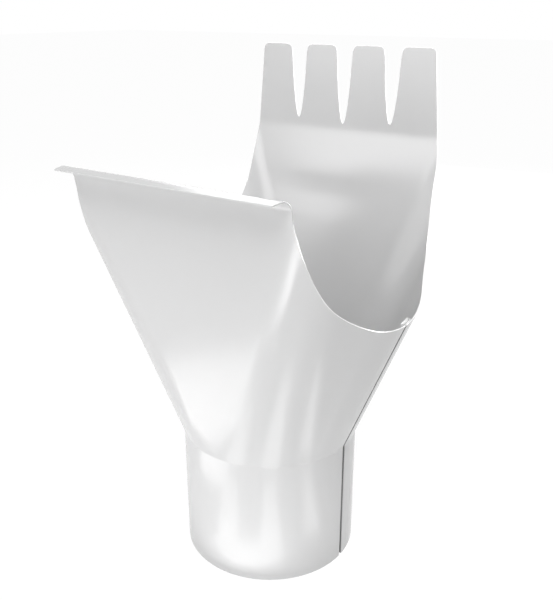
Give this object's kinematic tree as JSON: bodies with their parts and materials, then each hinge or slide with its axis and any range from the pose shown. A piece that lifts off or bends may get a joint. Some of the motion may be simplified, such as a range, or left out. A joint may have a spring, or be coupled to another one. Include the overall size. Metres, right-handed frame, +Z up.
{
  "type": "gutter outlet",
  "caption": "Folded sheet-metal gutter outlet: a saddle-cut funnel that hooks onto a half-round gutter and narrows to a collar that slides into a round downpipe.",
  "frame": {"origin": "on the collar's axis, level with its lower rim", "axes": "+Z up the collar's axis towards the gutter, X along the gutter with the lock seam on +X, -Y towards the front lip"},
  "size_m": [0.1437, 0.1426, 0.2441],
  "materials": {
    "painted_sheet": "glossy white paint on galvanised sheet steel"
  },
  "bodies": {
    "root": {"gutter_outlet": "painted_sheet"}
  },
  "joints": []
}
